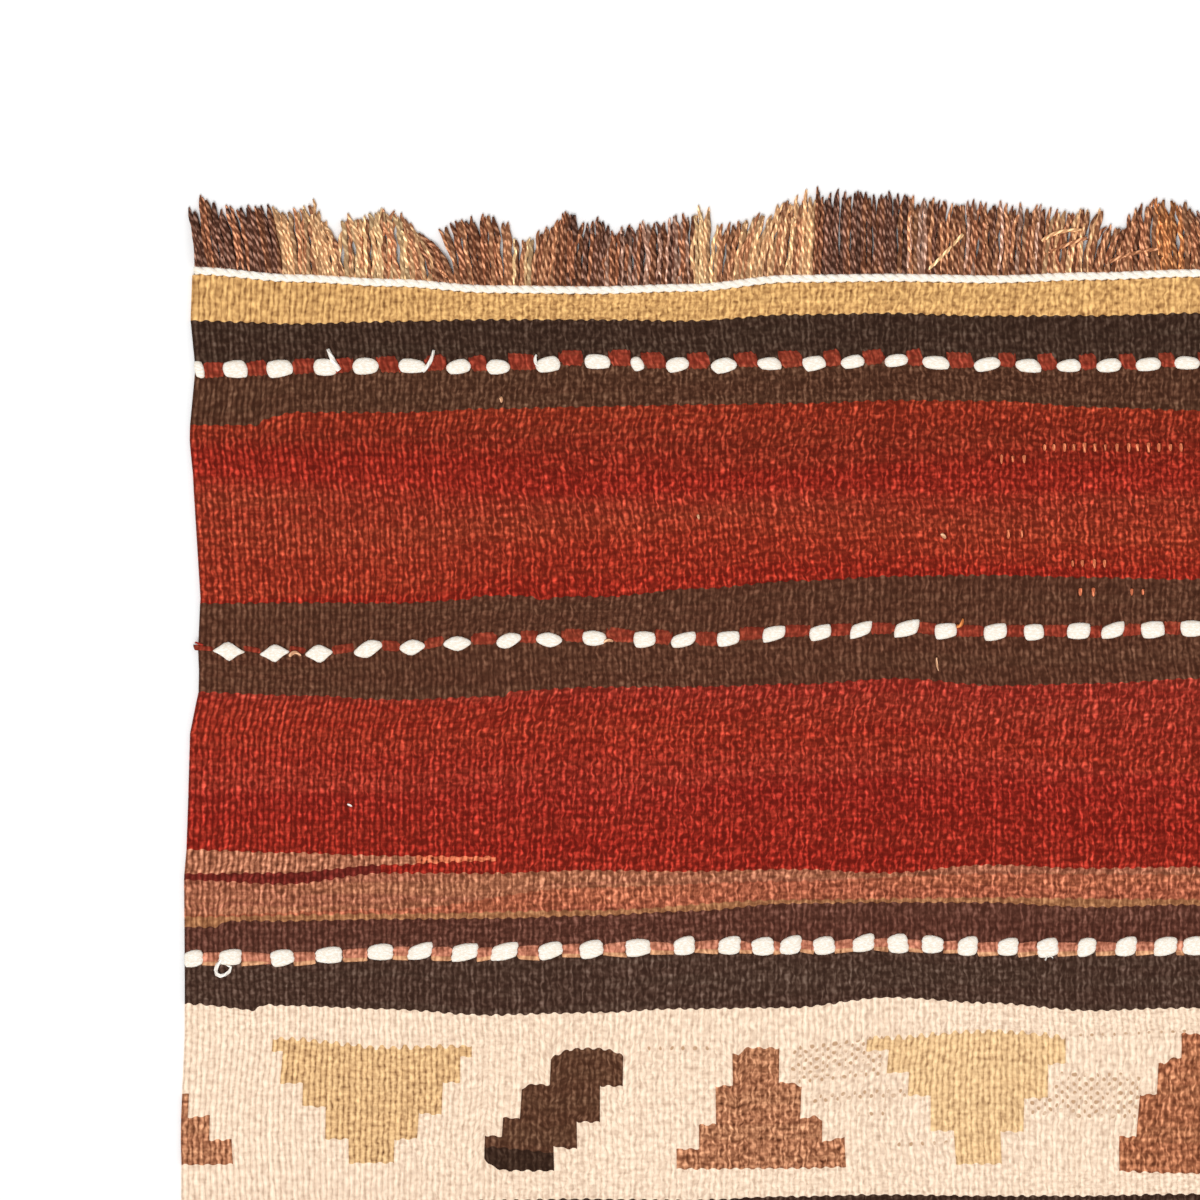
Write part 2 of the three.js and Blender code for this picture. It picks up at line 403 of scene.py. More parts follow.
# At a border the wefts end a little sooner on every second rib, most of all above the hanging
# motifs. The last wefts fill the hollows between the turns of the cord.
tooth = (0.15, 0.45)
under_brow = np.isin(motif_strips(far_motifs)[0], ["tan", "straw"])
tooth_depth = {"motif_head": np.where(under_brow, 2.6, 1.3)}
cord_fit = np.where(np.arange(warp_count) % 2, -0.55, 0.0)


def teeth(seed, depth=1.0):
    """How far a border's wefts stand in or out at each point across the cloth."""
    bite = np.random.default_rng(seed).uniform(*tooth, warp_count) * depth
    bite = bite * np.where(np.arange(warp_count) % 2, 1, -1)
    return bite[rib_numbers] * at_shoulder


def strip_rows(lines, dyes):
    """Rows of points from line to line, and the dyes of each strip between two rows.
    A line is its distances from the far end and its teeth."""
    rows = [lines[0]]
    strips = []
    for (start, _), (stop, stop_teeth), dye in zip(lines, lines[1:], dyes):
        steps = max(1, round(float((stop - start).mean()) / row_step))
        for step in range(1, steps + 1):
            share = step / steps
            rows.append((start + (stop - start) * share, stop_teeth * (step == steps)))
            strips.append(np.broadcast_to(dye, warp_count))
    return rows, strips


def colour(red, green, blue):
    """A colour from 0 to 255 as the shaders want it."""
    shares = np.array([red, green, blue]) / 255
    linear = np.where(shares > 0.04045, ((shares + 0.055) / 1.055) ** 2.4, shares / 12.92)
    return (*linear.tolist(), 1.0)


def lot_shades(strips):
    """The colour of the wool at each row of points. Between two lots of red it is their mean."""
    names, numbers = np.unique(strips, return_inverse=True)
    shades = np.array([colour(*dye_lots[name][0]) for name in names])
    shades = shades[numbers.reshape(strips.shape)]
    shares = np.where(np.isin(strips, red_lots), 1.0, faint_share)[..., None]
    above, share_above = (np.concatenate([rows[:1], rows]) for rows in (shades, shares))
    below, share_below = (np.concatenate([rows, rows[-1:]]) for rows in (shades, shares))
    return (above * share_above + below * share_below) / (share_above + share_below)


def weave_length(name, lines, dyes):
    """One length of the cloth, closed all round, with its dyes on its faces."""
    rows, strips = strip_rows(lines, dyes)
    strips = np.array(strips)
    shades = lot_shades(strips)[:, rib_numbers]
    count = len(rows)
    distance = np.array([base + bite for base, bite in rows])
    picks = even_distance(warp_places, distance) / pick
    x, y = on_cloth(warp_places[None, :], distance)
    rise = (cloth_rise["rib"] - cloth_rise["valley"]) * at_shoulder * rib_rise[rib_numbers]
    top = np.stack([x, y, np.broadcast_to(cloth_rise["valley"] + rise, x.shape)], axis=-1)
    under = top[:, ::3].copy()
    under[..., 2] = 0.0
    rims = top[:, [0, -1]].copy()
    rims[..., 0] += [-rim_bulge, rim_bulge]
    rims[..., 2] = cloth_rise["rim"]

    # Points, warps, picks and colours of the top, the underside and the rims. The end walls have
    # points of their own, so that the top stays smooth up to the border.
    across = np.broadcast_to(warp_places, x.shape)
    edge_warps = np.broadcast_to([-rim_warps, warp_count + rim_warps], (count, 2))
    parts = [(top, across, picks, shades)]
    parts.append((under, across[:, ::3], picks[:, ::3], shades[:, ::3]))
    parts.append((rims, edge_warps, picks[:, [0, -1]], shades[:, [0, -1]]))
    parts += [tuple(values[[0, -1]] for values in part) for part in parts]
    numbers = []
    for part, *_ in parts:
        start = numbers[-1][-1, -1] + 1 if numbers else 0
        numbers.append(start + np.arange(part[..., 0].size).reshape(part.shape[:2]))
    top_numbers, under_numbers, rim_numbers, *wall_numbers = numbers
    faces = [grid_faces(top_numbers), grid_faces(under_numbers)[:, ::-1]]
    face_dyes = [np.repeat(strips, 3, axis=1).ravel(), strips.ravel()]
    for side, step in ((0, 1), (-1, -1)):
        edge = (under_numbers[:, side], rim_numbers[:, side], top_numbers[:, side])
        faces.append(grid_faces(np.stack(edge, axis=1)[:, ::step]))
        face_dyes.append(np.repeat(strips[:, side], 2))
    shaded_smooth = sum(map(len, faces))
    for row, step in ((0, 1), (-1, -1)):
        last, below, edge = (part[row] for part in wall_numbers)
        ends = [last[0:-1:3], last[1::3], last[2::3], last[3::3], below[1:], below[:-1]]
        walls = np.stack(ends, axis=1)
        first_wall = np.append(walls[0], edge[0])[None]
        last_wall = np.insert(walls[-1], 4, edge[1])[None]
        faces += [walls[1:-1, ::step], first_wall[:, ::step], last_wall[:, ::step]]
        face_dyes += [strips[row, 1:-1], strips[row, :1], strips[row, -1:]]

    points, warps, wefts, shades = (
        np.concatenate([values.reshape(-1, *values.shape[2:]) for values in column])
        for column in zip(*parts)
    )
    corners, sizes = joined(faces)
    length = new_piece(name, points, corners, sizes, np.arange(len(sizes)) >= shaded_smooth)
    add_map(length, "weave", np.stack([warps, wefts], axis=-1))
    low, high = points[:, :2].min(axis=0), points[:, :2].max(axis=0)
    shares = (points[:, :2] - low) / (high - low)
    add_map(length, "OFBake", map_margin + (1 - 2 * map_margin) * shares)
    add_colours(length, "dye", shades)
    names, numbers = np.unique(np.concatenate(face_dyes), return_inverse=True)
    add_finishes(length, [dyed_wool[name] for name in names], numbers)
    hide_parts("cloth")
    return length


# The weave's pattern for the shaders. The map "weave" counts warps across and picks along. Each
# rib shows a chain of floats two picks long, which start a pick later on every second rib, and
# the wool's own loose fibres break them into grains of uneven tone and painted highlight.
class Amount:
    """A number that changes over the wool. Each sum with it is one Math node."""

    def __init__(self, tree, socket):
        self.tree, self.socket = tree, socket

    def worked(self, operation, *others):
        inputs = dict(enumerate([self, *others]))
        return amount(self.tree, "ShaderNodeMath", inputs, operation=operation)

    def __add__(self, other):
        return self.worked("ADD", other)

    def __sub__(self, other):
        return self.worked("SUBTRACT", other)

    def __mul__(self, other):
        return self.worked("MULTIPLY", other)

    def __truediv__(self, other):
        return self.worked("DIVIDE", other)

    def __mod__(self, other):
        return self.worked("MODULO", other)

    def __pow__(self, other):
        return self.worked("POWER", other)


def set_inputs(tree, node, inputs):
    """A node's inputs, each as a plain value, a socket or an amount."""
    for name, value in inputs.items():
        if isinstance(value, Amount):
            value = value.socket
        if isinstance(value, bpy.types.NodeSocket):
            tree.links.new(value, node.inputs[name])
        else:
            node.inputs[name].default_value = value


def add_node(tree, kind, inputs=None, **settings):
    """A shader node with its settings and its inputs."""
    node = tree.nodes.new(kind)
    for name, value in settings.items():
        setattr(node, name, value)
    set_inputs(tree, node, inputs or {})
    return node


def amount(tree, kind, inputs, **settings):
    """The amount that a new shader node gives."""
    return Amount(tree, add_node(tree, kind, inputs, **settings).outputs[0])


def new_group(name, takes, gives):
    """An empty shader group with named sockets, what it takes as amounts, and its last node."""
    group = bpy.data.node_groups.new(name, "ShaderNodeTree")
    for way, sockets in (("INPUT", takes), ("OUTPUT", gives)):
        for socket, kind in sockets.items():
            group.interface.new_socket(socket, in_out=way, socket_type=f"NodeSocket{kind}")
    first = group.nodes.new("NodeGroupInput")
    taken = {socket: Amount(group, first.outputs[socket]) for socket in takes}
    return group, taken, group.nodes.new("NodeGroupOutput")


def map_counts(tree, name):
    """The two counts of a map, such as warps across and picks along."""
    place = add_node(tree, "ShaderNodeUVMap", uv_map=name).outputs[0]
    split = add_node(tree, "ShaderNodeSeparateXYZ", {0: place})
    return Amount(tree, split.outputs[0]), Amount(tree, split.outputs[1])


def ramp(value, low, high, start=0.0, stop=1.0):
    """An amount from low to high, taken smoothly to start to stop and held there."""
    inputs = {"Value": value, "From Min": low, "From Max": high, "To Min": start, "To Max": stop}
    return amount(value.tree, "ShaderNodeMapRange", inputs, interpolation_type="SMOOTHSTEP")


def vector(x, y, z=0.0):
    """Three amounts as one vector."""
    return add_node(x.tree, "ShaderNodeCombineXYZ", {"X": x, "Y": y, "Z": z}).outputs[0]


def lumps(warps, wefts, across, along, detail=1.0):
    """Noise from 0 to 1 whose lumps are about so many warps wide and picks long."""
    inputs = {"Vector": vector(warps / across, wefts / along), "Scale": 1.0, "Detail": detail}
    return amount(warps.tree, "ShaderNodeTexNoise", inputs, noise_dimensions="2D")


def blend(share, first, second):
    """Two colours mixed by a share."""
    inputs = {"Factor": share, 6: first, 7: second}
    return add_node(share.tree, "ShaderNodeMix", inputs, data_type="RGBA").outputs[2]


def times(tree, dye, tint):
    """A colour times another."""
    inputs = {0: dye, 1: tint}
    return add_node(tree, "ShaderNodeVectorMath", inputs, operation="MULTIPLY").outputs[0]


least_gain, green_depth, blue_depth = 0.1, 1.22, 1.34


def gained(dye, gain):
    """A colour made lighter or darker by a gain of painted light and shade. Wool is deeper in
    colour where it is painted darker.
    """
    gain = gain.worked("MAXIMUM", least_gain)
    return times(gain.tree, dye, vector(gain, gain**green_depth, gain**blue_depth))


weave_takes = {
    "Dye": "Color", "Tint": "Vector", "Second share": "Float", "Contrast": "Float",
    "Glints": "Float", "Even ribs": "Float", "Bare warps": "Float",
}  # fmt: skip
colour_and_height = {"Color": "Color", "Height": "Float"}
weave, taken, weave_last = new_group("weft_faced_weave", weave_takes, colour_and_height)

# The ribs sway a little from side to side, and less so near the selvedges. Here and below, noise
# is given by how many warps wide and picks long its lumps are.
near_selvedge = (15, 75)
sway_lumps = (1.4, 5.0)
plain_warps, wefts = map_counts(weave, "weave")
from_edge = plain_warps.worked("MINIMUM", plain_warps * -1.0 + warp_count)
even_ribs = taken["Even ribs"] + ramp(from_edge, *near_selvedge, 0.45, 0)
sway = ramp(lumps(plain_warps, wefts, *sway_lumps), 0.2, 0.8, -1.0, 1.0)
warps = plain_warps + sway * (even_ribs * -0.16 + 0.26)
rib = warps.worked("FLOOR")
across = warps - rib
crown = (across * np.pi).worked("SINE")

# The ribs and the floats, each with its own chance of a stronger painted highlight.
float_number = ((wefts + rib % 2.0) * 0.5).worked("FLOOR")
float_place = {"Vector": vector(rib, float_number)}
float_glow = amount(weave, "ShaderNodeTexWhiteNoise", float_place, noise_dimensions="2D")
rib_glow = amount(weave, "ShaderNodeTexWhiteNoise", {"W": rib}, noise_dimensions="1D")

# How much painted light each spot gets in its colour: a painted highlight on the ribs' crowns
# and on the wool's streaks along the ribs, painted shade in the grooves between them, and the
# wool's own uneven tone on some of the wefts.
streak_lumps = (0.66, 2.7)
weft_lumps = [(1.5, 2.0, 1.1), (22.0, 0.9, 0.2), (60.0, 2.2, 0.2)]
streaks = ramp(lumps(warps, wefts, *streak_lumps), 0.28, 0.74) * (even_ribs * -0.5 + 1.05)
streaks = streaks * (float_glow * 0.3 + 0.85) * (crown * 0.44 + 0.36)
painted_light_and_tone = streaks + crown * (rib_glow * 0.24 + even_ribs * 0.55 + 0.14)
for wide, thick, depth in weft_lumps:
    painted_light_and_tone = painted_light_and_tone + (lumps(plain_warps, wefts, wide, thick) - 0.5) * depth
# The painted light and shade become a gain on the dye, and dark wool gets stronger painted glints.
lit_more = (painted_light_and_tone - (even_ribs * 0.19 + 0.5)) * taken["Contrast"]
gain = lit_more + 1.0 + lit_more**2.0 * taken["Glints"]

# The second dye runs in long streaks along the wefts.
long_lumps, fine_lumps = (90.0, 7.0, 3.0), (24.0, 1.6)
abrash = lumps(plain_warps, wefts, *long_lumps) * 0.65
abrash = abrash + lumps(plain_warps, wefts, *fine_lumps) * 0.35
second_share = ramp(abrash, 0.4, 0.62) * taken["Second share"]
dye = blend(second_share, taken["Dye"], times(weave, taken["Dye"], taken["Tint"]))

# Where the wefts lie loose, the bare warp peeks out between them on every second rib.
peek_step = 1.87
bare_warp = colour(184, 143, 108)
peek_row = wefts / peek_step
peek_number = peek_row.worked("FLOOR")
peek_along, peek_across = peek_row - peek_number - 0.5, across - 0.5
reach = peek_along * peek_along * 0.55 + peek_across * peek_across * 1.35
peek = ramp(reach, 0.2, 0.04) * ((rib + peek_number) % 2.0) * taken["Bare warps"]
shade = blend(peek * 0.9, gained(dye, gain), bare_warp)
height = crown * 0.5 + painted_light_and_tone * 0.6 - peek * 0.5
set_inputs(weave, weave_last, {"Color": shade, "Height": height})


def cover(tree, shader, shade, height, depth):
    """Gives a shader its colour, and its fine relief so many millimetres deep."""
    bump = add_node(tree, "ShaderNodeBump", {"Height": height, "Distance": depth * MM})
    set_inputs(tree, shader, {"Base Color": shade, "Normal": bump.outputs[0]})


# Wool and cotton shine little. How strong a wool's painted glints are goes by the brightest
# part of its colour.
dull = {"Roughness": 0.95, "Specular_IOR_Level": 0.1}
weave_relief = 0.15
tint_power = 2.2
glints = {"bright": [140, 200, 240], "glint": [0.55, 0, -0.7]}


def dye_wool(name, dye, tint, share, contrast, even_ribs):
    """The finish of wool wefts in one dye lot, streaked with a tint of it along the wefts. Dark
    wool gets stronger painted glints than light wool, and the reds run into each other."""
    finish, tree, shader = new_finish(f"{name}_wool", **dull)
    own_dye = colour(*dye)
    if name in red_lots:
        own_dye = add_node(tree, "ShaderNodeAttribute", attribute_name="dye").outputs["Color"]
    look = {
        "Dye": own_dye, "Tint": [part**tint_power for part in tint], "Second share": share,
        "Contrast": contrast, "Even ribs": even_ribs,
        "Glints": float(np.interp(max(dye), glints["bright"], glints["glint"])),
    }  # fmt: skip
    woven = add_node(tree, "ShaderNodeGroup", look, node_tree=weave).outputs
    cover(tree, shader, woven["Color"], woven["Height"], weave_relief)
    return finish


# Each dye lot: its colour, the tint of its streaks and their share, its contrast from the painted
# highlight on the ribs' crowns to the painted shade in the grooves between them, and how even the
# ribs are.
warm, light, rusty = (1.05, 1.12, 1.12), (1.06, 1.06, 1.06), (1.03, 1.2, 1.16)
golden, dusky = (1.06, 1.14, 1.08), (0.94, 0.92, 0.91)
dye_lots = {
    "camel": ((210, 162, 102), light, 0.5, 0.8, 0.05),
    "soot": ((62, 42, 32), warm, 0.5, 1.4, 0.15),
    "brown": ((81, 49, 34), warm, 0.5, 1.36, 0.1),
    "brown_two": ((85, 50, 35), warm, 0.5, 1.2, 0.25),
    "brown_three": ((89, 50, 39), warm, 0.5, 1.3, 0.2),
    "bark": ((73, 50, 40), warm, 0.5, 1.4, 0.15),
    "red": ((134, 43, 25), rusty, 0.5, 1.6, 0.1),
    "red_dull": ((112, 35, 22), rusty, 0.5, 1.6, 0.1),
    "red_vivid": ((144, 32, 20), warm, 0.5, 1.6, 0.1),
    "red_seam": ((132, 40, 27), rusty, 0.5, 1.6, 0.1),
    "red_light": ((141, 52, 31), rusty, 0.5, 1.6, 0.1),
    "red_body": ((136, 32, 20), rusty, 0.5, 1.6, 0.1),
    "madder": ((138, 42, 30), rusty, 0.5, 1.6, 0.1),
    "madder_dull": ((132, 34, 18), rusty, 0.5, 1.6, 0.1),
    "madder_light": ((149, 45, 31), rusty, 0.5, 1.6, 0.1),
    "madder_seam": ((134, 36, 26), rusty, 0.5, 1.6, 0.1),
    "madder_body": ((136, 33, 22), rusty, 0.5, 1.6, 0.1),
    "wedge": ((104, 34, 26), warm, 0.3, 1.2, 0.1),
    "rose": ((164, 102, 75), light, 0.5, 1.49, 0.2),
    "rose_thin": ((208, 108, 74), warm, 0.5, 1.3, 0.2),
    "brick": ((157, 93, 69), golden, 0.6, 1.4, 0.05),
    "brick_red": ((163, 88, 63), golden, 0.4, 1.42, 0.05),
    "brick_edge": ((155, 103, 68), light, 0.5, 1.0, 0.05),
    "cream": ((244, 218, 192), dusky, 0.2, 0.38, 0.3),
    "tan": ((217, 175, 125), light, 0.4, 0.74, 0.4),
    "straw": ((226, 187, 138), light, 0.4, 0.6, 0.6),
    "clay": ((173, 114, 82), warm, 0.4, 1.36, 0.0),
    "rust": ((164, 100, 69), warm, 0.5, 1.4, 0.0),
    "umber": ((91, 58, 41), warm, 0.4, 1.21, 0.2),
    "umber_foot": ((57, 37, 27), warm, 0.4, 1.1, 0.2),
    "link_red": ((134, 50, 34), rusty, 0.7, 1.0, 0.1),
    "link_rose": ((186, 115, 90), warm, 0.5, 1.0, 0.1),
    "link_tan": ((206, 150, 110), light, 0.5, 0.8, 0.1),
}
red_lots = [name for name in dye_lots if name.startswith(("red", "madder"))]
dyed_wool = {name: dye_wool(name, *lot) for name, lot in dye_lots.items()}

# The loose patches in the cream: their first and last warp, their distance from the far end and
# their number of rows of bare warps.
bare_patches = [
    (106, 122, 302.4, 9), (152, 167, 315.8, 5), (148, 167, 324.4, 5), (110, 127, 322.8, 2),
    (124, 134, 342.4, 1), (81, 95, 305.6, 1), (155, 175, 299.6, 1), (118, 124, 331.8, 1),
]  # fmt: skip

loose_lumps = (4.0, 4.0)
cream = dyed_wool["cream"].node_tree
warps, wefts = map_counts(cream, "weave")
patched = 0.0
for first, last, distance, rows in bare_patches:
    row = round(float(even_distance((first + last) / 2, distance)) / pick / peek_step)
    inside = wefts.worked("COMPARE", (row + rows / 2) * peek_step, rows / 2 * peek_step)
    beside = warps.worked("COMPARE", (first + last) / 2, (last - first) / 2)
    patched = inside * beside + patched
patched = patched * ramp(lumps(warps, wefts, *loose_lumps), 0.28, 0.5, 0.35, 1.0)
cream_weave = next(node for node in cream.nodes if node.type == "GROUP")
set_inputs(cream, cream_weave, {"Bare warps": patched})

# The lines and the dyes of each length of the far half, from the far end inwards. Two of the
# bands begin at the left selvedge and run out after a few warps.
from_left = np.arange(warp_count)
rose_side = np.select([from_left < 40, from_left < 54], ["rose", "rose_thin"], "madder_body")
wedge_side = np.where(from_left < 34, "wedge", "madder_body")
line_names = list(weft_lines)
motifs_at = line_names.index("cream_head")
far_lengths = {
    "bands": (
        line_names[: motifs_at + 1],
        ["camel", "soot", "brown", "red", "red_dull", "red_vivid", "red_seam", "red_light",
         "red_body", "brown_two", "brown_two", "madder", "madder_dull", "madder_light",
         "madder_seam", "madder_body", rose_side, wedge_side, "brick", "brick_red",
         "brick_edge", "brown_three", "bark"],
    ),
    "motifs": (
        [*line_names[motifs_at:], "inner_start"],
        ["cream", *motif_strips(far_motifs), "cream"],
    ),
    "inner": (
        list(inner_steps),
        ["soot", "brown", "red_vivid", "red_light", "red_body", "brown_two", "brown_two",
         "madder", "madder_light", "madder_body", "brick", "brown_three", "bark"],
    ),
}  # fmt: skip


def toothed(name):
    """A weft line of the far half, with its teeth."""
    line = weft_line(name, warp_places)
    if name == "end":
        return line, cord_fit[rib_numbers] * at_shoulder
    return line, teeth(sum(map(ord, name)), tooth_depth.get(name, 1.0))


def turned(lines):
    """Weft lines of the far half, turned half round to the near half."""
    return [(cloth_length - line[::-1], -bite[::-1]) for line, bite in reversed(lines)]


def turned_dyes(dyes):
    """The dyes of the far half's strips, as they follow each other in the near half."""
    return [dye if isinstance(dye, str) else dye[::-1] for dye in reversed(dyes)]


for part, (names, dyes) in far_lengths.items():
    lines = [toothed(name) for name in names]
    weave_length(f"cloth_far_{part}", lines, dyes)
    near_dyes = turned_dyes(dyes)
    weave_length(f"cloth_near_{part}", turned(lines), near_dyes)

middle_shares = (0.21, 0.26, 0.4, 0.54, 0.68, 0.75, 0.81)
middle_head = toothed("inner_foot")
middle_foot = turned([middle_head])[0]
middle_lines = [middle_head]
for share in middle_shares:
    line = middle_head[0] + (middle_foot[0] - middle_head[0]) * share
    middle_lines.append((line, teeth(int(share * 100))))
middle_lines.append(middle_foot)
middle_dyes = ["cream", *motif_strips(middle_motifs), "cream"]
weave_length("cloth_middle_motifs", middle_lines, middle_dyes)


# The wrapped rows
# Thick white cotton yarn is wrapped over some warps as two or three stacked floats that stand
# proud of the cloth, and red wool fills the warps between them. There are six rows in each half.
# A row is its first white wrap's middle in warps and the steps from each wrap to the next.
row_charts = {
    "first_row": (-1, [8, 8, 8, 7, 8, 8, 7, 9, 9, 7, 7, 8, 8, 8, 7, 8, 7, 9, 7, 7, 7, 7, 7]),
    "second_row": (5, [8, 8, 9, 8, 8, 9, 7, 8, 9, 7, 8, 8, 8, 7, 8, 7, 9, 7, 8, 6, 7, 7]),
    "third_row": (1, [7, 9, 8, 9, 7, 8, 7, 8, 7, 8, 8, 8, 6, 5, 6, 7, 6, 6, 6, 7, 7, 7, 7, 7, 5]),
}

# The looks of the white wraps, one value or several over 400 mm: half their width in warps and
# half their height in millimetres, how far their ends are drawn to a point, how much narrower
# they are at their far and near sides, how deep the waist between two floats is, and how far
# they slant.
white_looks = {
    "first_row": {
        "half_width": [2.3, 2.4], "half_height": [3.6, 3.0, 2.7, 2.7], "point": 0.1,
        "top": 0.4, "foot": 0.25, "offset": 0.3, "slant": -0.4, "rise": 1.35,
    },
    "second_row": {
        "half_width": [2.7, 2.5, 2.15, 2.05, 2.2], "half_height": [4.1, 3.3, 3.2, 3.2, 3.4],
        "point": [0.75, 0.5, 0.1, 0.1, 0.15], "top": [0.3, 0.2, 0.1, 0.1],
        "foot": [0.5, 0.3, 0.12, 0.15], "offset": 0.45, "slant": -0.4, "rise": 1.4,
    },
    "third_row": {
        "half_width": [2.4, 2.35, 2.1, 2.05], "half_height": [3.5, 3.5, 3.8, 4.1], "point": 0.15,
        "top": 0.2, "foot": 0.15, "offset": 0.6, "waist": 0.09, "slant": -0.4, "rise": 1.35,
    },
}  # fmt: skip

# The wool between them: its dye, and half its height and how far it lies from the row's line.
link_looks = {
    "first_row": [
        ("link_red", {"half_height": 3.6, "rise": 0.35,
                      "offset": [0.8, -0.2, -1.2, -1.4, -1.4, -1.4, -1.4, -1.4, -1.4]}),
    ],
    "second_row": [
        ("link_red", {"half_height": [1.2, 2.6, 3.2, 2.6, 2.9], "offset": [-0.8, -0.7, -0.1, 0.6],
                      "rise": 0.35}),
    ],
    "third_row": [
        ("link_rose", {"half_height": 2.6, "offset": 0.8, "rise": 0.5}),
        ("link_tan", {"half_height": 1.2, "offset": 2.9, "rise": 0.5}),
    ],
}  # fmt: skip
narrow_wraps = {"first_row": [(10, 0.55)]}
same_rows = {"fourth_row": "second_row", "fifth_row": "first_row", "sixth_row": "third_row"}
chart_repeats = 4

# A wrap's shape: where it stands, how square its dome is, how its sides, waist and corners are
# drawn in, and the places across and along it that get points.
wrap_floor = 2.2
wrap_sink = 0.75
wrap_squareness = 5
point_power = 1.8
side_rounding = 0.1
outer_waist, inner_waist = 0.25, 0.16
flare_share = 0.2
lean_warps, lean_distance = 0.4, 0.5
white_grid = ([-1, -0.94, -0.76, -0.38, 0, 0.38, 0.76, 0.94, 1],) * 2
link_grid = ([-1, -0.85, -0.4, 0.4, 0.85, 1], [-1, -0.8, -0.4, 0.4, 0.8, 1])

# By chance single wraps are larger, slip and lean, are drawn in and puff up, each by so much.
wrap_sizes, wrap_slips, wrap_draws, wrap_puffs = (0.93, 1.07), (-0.6, 0.6), (0.5, 1.2), (0.9, 1.08)

# The wraps end at most so far outside the selvedge, and each wool link reaches under its white
# wraps. What would be too narrow at the selvedge is left out. All are in warps.
width_chance = 0.2
wrap_overhang, link_overhang = 0.4, 0.5
least_wrap, least_link = 1.2, 0.3
link_overlap = 0.5


def half_piece(name, half, points, faces):
    """A piece of one half. The near half's is turned half round."""
    if half == "near":
        points = points * [-1, -1, 1]
    return new_piece(f"{name}_{half}", points, *joined(faces))


def in_cells(numbers, places):
    """Places in a square sheet of cells, one cell for each number."""
    side = int(np.ceil(np.sqrt(numbers.max() + 1)))
    return (np.stack([numbers % side, numbers // side], axis=-1) + places) / side


def wrap_shares(grid):
    """Places across and along a wrap from -1 to 1, its upper faces and the face below."""
    s, t = np.meshgrid(*(np.array(places, float) for places in grid))
    numbers = np.arange(s.size).reshape(s.shape)
    ring = [numbers[0, :-1], numbers[:-1, -1], numbers[-1, :0:-1], numbers[:0:-1, 0]]
    return s, t, grid_faces(numbers), np.concatenate(ring)[None]


def puffed(s, t, middle, half_width, look, line, chance):
    """One wrap as a puffed dome: its points, and their places on the map "weave"."""
    size = chance.uniform(*wrap_sizes)
    slant, lean, flare = chance.uniform(*wrap_slips, 3)
    narrow = np.where(t < 0, look.get("top", 0), look.get("foot", 0))
    narrow = narrow * chance.uniform(*wrap_draws)
    waist = look.get("waist", 0)
    wide = s * (1 - narrow * t * t) * (1 - waist * np.exp(-((t / outer_waist) ** 2)))
    wide = wide * np.sqrt(1 - side_rounding * t * t)
    tall = t * (1 - look.get("point", 0) * np.abs(s) ** point_power)
    tall = tall * np.sqrt(1 - side_rounding * s * s) * (1 + flare_share * flare * s)
    dome = np.sqrt((1 - np.abs(s) ** wrap_squareness) * (1 - np.abs(t) ** wrap_squareness))
    dome = dome * (1 - 2 * waist * np.exp(-((t / inner_waist) ** 2)))
    warps_at = middle + wide * half_width + lean_warps * lean * t
    distance = weft_line(line, warps_at) + look.get("offset", 0) + lean_distance * lean
    distance = distance + (slant + look.get("slant", 0)) * s + tall * look["half_height"] * size
    x, y = on_cloth(warps_at, distance)
    z = wrap_floor + dome * (look["rise"] * chance.uniform(*wrap_puffs) + wrap_sink)
    points = np.stack([x, y, z], axis=-1).reshape(-1, 3)
    return points, np.stack([warps_at, distance / pick], axis=-1).reshape(-1, 2)


def wrap_layer(middles, halves, looks, grid, line, chance):
    """One kind of wrap all along a row."""
    s, t, upper, below = wrap_shares(grid)
    values = {}
    for key, value in looks.items():
        table = np.resize(value, max(2, np.size(value)))
        values[key] = read_table(table, line_span, middles * warp_pitch)
    wraps = []
    for index, (middle, half) in enumerate(zip(middles, halves)):
        look = {key: value[index] for key, value in values.items()}
        wraps.append(puffed(s, t, middle, half, look, line, chance))
    in_cell = np.stack([s.ravel(), t.ravel()], axis=-1) * 0.42 + 0.5
    return wraps, upper, below, in_cell


def white_and_links(like, white, chance):
    """The middles and half widths in warps of a row's white wraps, and of the wool between."""
    first, steps = row_charts[like]
    middles = first + np.cumsum([0, *steps * chart_repeats])
    middles = middles[middles < warp_count + 2].astype(float)
    width = read_table(white.pop("half_width"), line_span, middles * warp_pitch)
    width = width + chance.uniform(-width_chance, width_chance, len(middles))
    for index, share in narrow_wraps.get(like, []):
        width[index] *= share
    starts = np.maximum(middles - width, -wrap_overhang)
    stops = np.minimum(middles + width, warp_count + wrap_overhang)
    shown = stops - starts > least_wrap
    starts, stops = starts[shown], stops[shown]
    link_starts = np.append(-link_overhang, stops)
    link_stops = np.append(starts, warp_count + link_overhang)
    shown = link_stops - link_starts > least_link
    link_starts, link_stops = link_starts[shown] - link_overlap, link_stops[shown] + link_overlap
    runs = ((starts, stops), (link_starts, link_stops))
    return [((start + stop) / 2, (stop - start) / 2) for start, stop in runs]


